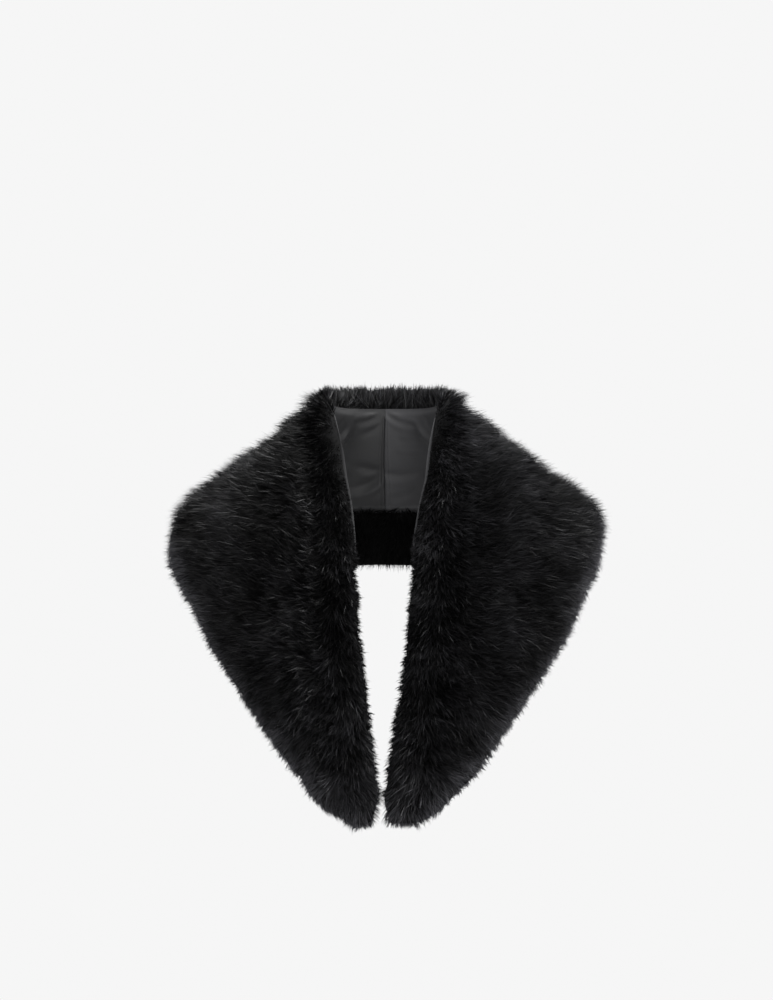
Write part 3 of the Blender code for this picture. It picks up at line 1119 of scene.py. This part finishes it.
# Behind the neck the lining is full at its top, and bulges above the facing.
TOP_LOWER = 3.5 * MM
TOP_FADE = 8 * MM
TOP_FULL = 3.0 * MM
TOP_FALL = 50 * MM
BULGE = 5.5 * MM
BULGE_BELOW = 11 * MM
BULGE_ABOVE = 36 * MM

# Beside the neck the lining's turned edge shows past the fur, as a thin roll.
TURNED_EDGE = 1.6 * MM
TURNED_FROM = KNOTS[4]
TURNED_FULL = KNOTS[5]
TURNED_LESS = (KNOTS[6] + KNOTS[7]) / 2
TURNED_TO = KNOTS[7] + 10 * MM / STRIP_LENGTH
ROLL_WIDTH = 1.5 * MM
ROLL_HEIGHT = 0.3 * MM


def folds(along, down, side):
    """How far the lining's folds stand from it, at distances along the strip and down from the neck edge."""
    relief = np.zeros(len(along))
    unevenness = 1 + 0.3 * waves(np.stack([along, down, 0 * along], axis=1), 40 * MM, 95 + side)
    for fold in FOLDS:
        if fold.side * side < 0:
            continue
        start, end = np.array(fold.start) * MM, np.array(fold.end) * MM
        way, length = end - start, math.dist(start, end)
        if fold.side == 0 and side < 0:
            start = start + np.array(HIDDEN_FOLD_SHIFT)
        share = ((along - start[0]) * way[0] + (down - start[1]) * way[1]) / length**2
        off = ((along - start[0]) * way[1] - (down - start[1]) * way[0]) / length
        off -= FOLD_BOW * length * (share - 0.5) ** 2
        beyond = np.maximum(np.abs(share - 0.5) - 0.5, 0) * length
        width = fold.width * MM
        size = (FOLD_SIZE if fold.side else HIDDEN_FOLD_SIZE) * fold.height * MM
        relief += size * unevenness * np.exp(-((beyond / (FOLD_ENDS * width)) ** 2) - (off / width) ** 2)
    return relief


def turned_edge(at):
    """1 where the lining's neck edge shows past the fur."""
    begun = smooth_step((at - TURNED_FROM) / (TURNED_FULL - TURNED_FROM))
    return begun * (1 - smooth_step((at - TURNED_LESS) / (TURNED_TO - TURNED_LESS)))


def lining_half(side, material):
    """One satin lining panel, with its creases on the side towards the wearer."""
    lines = LINING_END * np.linspace(0, 1, LINING_ROWS + 1) ** CLOSER_ROWS
    first, last = lined_band(lines)
    width = widths(lines)
    first = first - turned_edge(lines) * (first + TURNED_EDGE / width)
    first = first + TOP_LOWER * collar_back(lines) / width
    at, across = grid(lines, first, last, LINING_COLUMNS, CLOSER_COLUMNS)
    width, first, last = (np.repeat(line, LINING_COLUMNS + 1) for line in (width, first, last))
    along, back = at * STRIP_LENGTH, collar_back(at)
    from_first, from_last = (across - first) * width, (last - across) * width
    normal = strip_frame(at, np.clip(across, 0, 1))[0]
    cloth = strip_points(at, across)

    inside = smooth_step(np.minimum(from_first, from_last) / FOLD_EDGE) * smooth_step(from_first / TOP_FADE)
    inside *= smooth_step((LINING_END - at) * STRIP_LENGTH / FOLD_EDGE)
    bulge = smooth_step(from_last / BULGE_BELOW) * (1 - smooth_step((from_last - BULGE_BELOW) / BULGE_ABOVE))
    relief = FOLD_BASE + folds(along, across * width, side) + BULGE * bulge * back
    for distance, size, height in SEAM_RIDGES:
        relief += height * MM * np.exp(-(((along / MM - distance) / size) ** 2))
    drop = np.maximum(relief, 0) * inside + TOP_FULL * (1 - smooth_step(from_first / TOP_FALL)) * back
    roll = turned_edge(at) * ROLL_HEIGHT * np.exp(-(((from_first - ROLL_WIDTH) / ROLL_WIDTH) ** 2))
    over = cloth - normal * (drop - roll)[:, None]
    under = cloth - normal * (drop + roll + LINING_THICKNESS)[:, None]
    shape = (LINING_ROWS + 1, LINING_COLUMNS + 1)
    return sheet_half("satin", over, under, shape, SEAM_GAP / 2, side, material)


# Facing.

FACING_HAIRS = 13000
FACING_LENGTH = 17 * MM
FACING_HALF_WIDTH = 0.3 * MM
FACING_THICKNESS = 3 * MM
FACING_OVER = 2.5 * MM
FACING_ROOTS_UP = 12 * MM
BACKING_UP = 4 * MM

# Some of the topmost hair lies up over the lining's lower edge.
UPWARD_BAND = 7 * MM
UPWARD_SHARE = 0.4


def mirrored_at(at):
    mirror = np.ones((len(at), 3))
    mirror[:, 0] = np.where(at < 0, -1, 1)
    return mirror


def facing_backing(material):
    """The cloth that the facing's pile stands in, from one of its ends to the other."""
    rows, columns = 90, 14
    lines = np.linspace(-FACING_END, FACING_END, rows + 1)
    width = widths(np.abs(lines))
    at, across = grid(lines, 1 - facing_top(np.abs(lines)) / width, 1 - BACKING_UP / width, columns)
    mirror = mirrored_at(at)
    normal = strip_frame(np.abs(at), across)[0] * mirror
    cloth = strip_points(np.abs(at), across) * mirror
    shape = (rows + 1, columns + 1, 3)
    over = placed(cloth, 1).reshape(shape)
    under = placed(cloth - normal * FACING_THICKNESS, 1).reshape(shape)
    return closed_sheet("facing_backing", over, under, 1, material)


def facing_fur(material):
    """The facing's pile, towards the wearer and down."""
    count = FACING_HAIRS
    draw = np.random.default_rng(17)
    at = draw.uniform(-FACING_END, FACING_END, count)
    mirror = mirrored_at(at)
    at = np.abs(at)
    width = widths(at)
    top = 1 - (facing_top(at) + FACING_OVER) / width
    bottom = 1 - FACING_ROOTS_UP / width
    across = top + (bottom - top) * draw.random(count)
    normal, to_tip, to_hem = (vectors * mirror for vectors in strip_frame(at, across))
    cloth = strip_points(at, across) * mirror
    small_away, small = clumped(at * STRIP_LENGTH, across * width, SMALL_CLUMP, 18)
    way = turned(to_hem, normal, 0.4 * waves(cloth, 40 * MM, 19) + 0.2 * draw.normal(size=count))
    length = FACING_LENGTH * (0.8 + 0.3 * draw.random(count))
    upward = ((across - top) * width < UPWARD_BAND) & (draw.random(count) < UPWARD_SHARE)
    way = np.where(upward[:, None], -way, way)
    length = np.where(upward, length * draw.uniform(0.45, 0.95, count), length)
    shares = np.linspace(0, 1, 3)
    root_lean, tip_lean = np.radians(np.full(count, 38.0)), np.radians(72 + 8 * draw.normal(size=count))
    spine = bowed(cloth - normal * FACING_THICKNESS / 2, -normal, way, length, root_lean, tip_lean, shares)
    spine = gathered(spine, on_strip(to_tip, to_hem, small_away * SMALL_PULL), shares)
    sideways = rolled(spine, normal, draw, 1)
    half_width = half_widths(count, FACING_HALF_WIDTH, 0.55, shares, draw)
    tone = np.clip(0.5 + 0.3 * (small[:, 2] - 0.5) + 0.14 * draw.normal(size=count), *TONE_ENDS)
    tone[:2] = TONE_ENDS
    return ribbons("facing_fur", placed(spine, 1), half_width, sideways, tone, shares, material)


# Materials.

# The blacks between which the dense base of the pile varies.
PELT_BLACKS = ((0.0012, 0.0012, 0.0013), (0.004, 0.004, 0.0042))

# Each kind of hair: its root, the tips of its darkest and lightest strands, its gloss and its roughness.
HAIRS = {
    "inner": ((0.0006,) * 3, (0.0012,) * 3, (0.0244, 0.0244, 0.0264), 0.05, 0.55),
    "outer": ((0.0007,) * 3, (0.0013,) * 3, (0.0600, 0.0596, 0.0655), 0.07, 0.40),
    "guard": ((0.0007,) * 3, (0.0016,) * 3, (0.0895, 0.0885, 0.0976), 0.16, 0.36),
    # The facing's hair is painted near black as painted shade, for the hollow below the lining.
    "facing": ((0.0005,) * 3, (0.0010,) * 3, (0.0018,) * 3, 0.06, 0.6),
}

# The greys between which each lining panel varies. Both are one satin with painted light in its grey: the
# left one faces the strongest light, and is painted darker, and the right one lighter.
SATIN_PAINTED_LIGHT_GREYS = {"left": (0.0105, 0.0155), "right": (0.028, 0.038)}
SATIN_BLUE = 1.08


def new_material(name, roughness, specular):
    """A material, its nodes, its links and its shader."""
    material = bpy.data.materials.new(name)
    material.use_nodes = True
    nodes = material.node_tree.nodes
    shader = nodes["Principled BSDF"]
    shader.inputs["Roughness"].default_value = roughness
    shader.inputs["Specular IOR Level"].default_value = specular
    return material, nodes, material.node_tree.links, shader


def new_node(nodes, kind, **inputs):
    """A node with values at its inputs, which are named with an underscore for a space."""
    node = nodes.new(f"ShaderNode{kind}")
    for name, value in inputs.items():
        node.inputs[name.replace("_", " ")].default_value = value
    return node


def mixed(nodes, links, factor, first, second):
    """The colour between two others, which are three numbers or a socket each."""
    mix = new_node(nodes, "Mix")
    mix.data_type = "RGBA"
    links.new(factor, mix.inputs["Factor"])
    for name, colour in (("A", first), ("B", second)):
        if isinstance(colour, tuple):
            mix.inputs[name].default_value = (*colour, 1)
        else:
            links.new(colour, mix.inputs[name])
    return mix.outputs["Result"]


def noise(nodes, links, scale, detail):
    """Unevenness in the piece's own space."""
    texture = new_node(nodes, "TexNoise", Scale=scale, Detail=detail)
    links.new(new_node(nodes, "TexCoord").outputs["Object"], texture.inputs["Vector"])
    return texture.outputs["Fac"]


def roughened(nodes, links, shader, height, strength, distance):
    """A bump of the surface by height."""
    bump = new_node(nodes, "Bump", Strength=strength, Distance=distance)
    links.new(height, bump.inputs["Height"])
    links.new(bump.outputs["Normal"], shader.inputs["Normal"])


def hair_material(name, root, tip_dark, tip_light, specular, roughness):
    """Colour from the strand's own UVs: dark at the root, and at the tip as light as the strand's tone."""
    material, nodes, links, shader = new_material(f"hair_{name}", roughness, specular)
    place = new_node(nodes, "UVMap")
    place.uv_map = "OFBake"
    split = new_node(nodes, "SeparateXYZ")
    links.new(place.outputs["UV"], split.inputs["Vector"])
    tip = mixed(nodes, links, split.outputs["X"], tip_dark, tip_light)
    colour = mixed(nodes, links, split.outputs["Y"], root, tip)
    links.new(colour, shader.inputs["Base Color"])
    return material


def pelt_material(name):
    """The dense, dark base of the pile: fine fibres of slightly uneven black."""
    material, nodes, links, shader = new_material(name, 0.9, 0.1)
    fibres = noise(nodes, links, 900, 4)
    links.new(mixed(nodes, links, fibres, *PELT_BLACKS), shader.inputs["Base Color"])
    roughened(nodes, links, shader, fibres, 0.6, 0.6 * MM)
    return material


def satin_material(word):
    """Dark grey satin: a fine weave, and slight unevenness of its colour, between its panel's greys, which
    hold painted light.
    """
    material, nodes, links, shader = new_material(f"satin_{word}", 0.55, 0.35)
    shader.inputs["Sheen Weight"].default_value = 0.05
    greys = ((grey, grey, SATIN_BLUE * grey) for grey in SATIN_PAINTED_LIGHT_GREYS[word])
    links.new(mixed(nodes, links, noise(nodes, links, 60, 6), *greys), shader.inputs["Base Color"])
    roughened(nodes, links, shader, noise(nodes, links, 1400, 2), 0.35, 0.2 * MM)
    return material


# Studio.

# The camera faces the middle of the wrap squarely, as in the photo.
CAMERA_PLACE = (0.001, -2.6, -0.0313)
SENSOR = 36.0
VIEW_HEIGHT = 1.044
FLOOR_HEIGHT = -1.2
BACKGROUND = (0.921,) * 3
FLOOR_SIZE = 40.0
FLOOR_GREY = (0.42, 0.42, 0.42)
GLOW_START = 1.2
GLOW_FULL = 2.8


def camera():
    data = bpy.data.cameras.new("camera")
    data.sensor_fit = "AUTO"
    data.sensor_width = SENSOR
    data.lens = SENSOR / 2 / (VIEW_HEIGHT / 2 / -CAMERA_PLACE[1])
    data.clip_end = 100
    shot = added("camera", data)
    shot.location = CAMERA_PLACE
    shot.rotation_euler = (math.pi / 2, 0, 0)
    bpy.context.scene.camera = shot


def world():
    surroundings = bpy.data.worlds.new("studio")
    surroundings.use_nodes = True
    sky = surroundings.node_tree.nodes["Background"]
    sky.inputs["Color"].default_value = (*BACKGROUND, 1)
    sky.inputs["Strength"].default_value = 1.0
    bpy.context.scene.world = surroundings


def floor():
    """A pale floor that runs out into the pale background without a horizon."""
    mesh = bpy.data.meshes.new("floor")
    half = FLOOR_SIZE / 2
    corners = [(-half, -half, 0), (half, -half, 0), (half, half, 0), (-half, half, 0)]
    mesh.from_pydata(corners, [], [(0, 1, 2, 3)])
    material, nodes, links, shader = new_material("pale_floor", 1.0, 0.0)
    shader.inputs["Base Color"].default_value = (*FLOOR_GREY, 1)
    glow = new_node(nodes, "Emission", Color=(*BACKGROUND, 1))
    distance = new_node(nodes, "VectorMath")
    distance.operation = "LENGTH"
    links.new(new_node(nodes, "TexCoord").outputs["Object"], distance.inputs[0])
    share = new_node(nodes, "MapRange", From_Min=GLOW_START, From_Max=GLOW_FULL)
    share.interpolation_type = "SMOOTHSTEP"
    links.new(distance.outputs["Value"], share.inputs["Value"])
    mix = new_node(nodes, "MixShader")
    links.new(share.outputs["Result"], mix.inputs["Fac"])
    links.new(shader.outputs["BSDF"], mix.inputs[1])
    links.new(glow.outputs["Emission"], mix.inputs[2])
    links.new(mix.outputs["Shader"], nodes["Material Output"].inputs["Surface"])
    ground = add_piece("floor", mesh, material)
    ground.location = (0, 0, FLOOR_HEIGHT)


def soft_light(name, place, target, size, power):
    data = bpy.data.lights.new(name, "AREA")
    data.shape = "RECTANGLE"
    data.size, data.size_y = size
    data.energy = power
    light = added(name, data)
    light.location = place
    way = np.array(target, float) - np.array(place, float)
    flat = math.hypot(way[0], way[1])
    light.rotation_euler = (math.atan2(flat, -way[2]), 0, math.atan2(-way[0], way[1]))


def studio():
    camera()
    world()
    floor()
    soft_light("overhead", (0.60, 0.05, 2.0), (0, 0, 0), (1.4, 1.1), 66)
    soft_light("right", (2.1, -0.40, 0.3), (0, 0, -0.1), (1.0, 1.0), 72)
    soft_light("front", (0.3, -2.4, 0.1), (0, 0, 0), (0.9, 0.9), 16)
    bpy.context.scene.view_settings.view_transform = "Standard"


# Put together.


def build():
    pelt = pelt_material("pelt_black")
    hair = {name: hair_material(name, *values) for name, values in HAIRS.items()}
    hair["fringe"] = hair["guard"]
    for word, side in (("left", -1), ("right", 1)):
        backing = pelt_half(side, pelt)
        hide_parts(f"fur_{word}")
        strands = [coat_half(coat, side, hair[coat.name]) for coat in COATS]
        strands.append(lip_half(side, hair["guard"]))
        panel = lining_half(side, satin_material(word))
        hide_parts(f"lining_{word}")
        for piece in (backing, *strands):
            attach(piece, "root")
        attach(panel, "root")
    turned_up = facing_backing(pelt)
    pile = facing_fur(hair["facing"])
    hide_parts("back_hem_facing")
    for piece in (turned_up, pile):
        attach(piece, "root")


studio()
build()
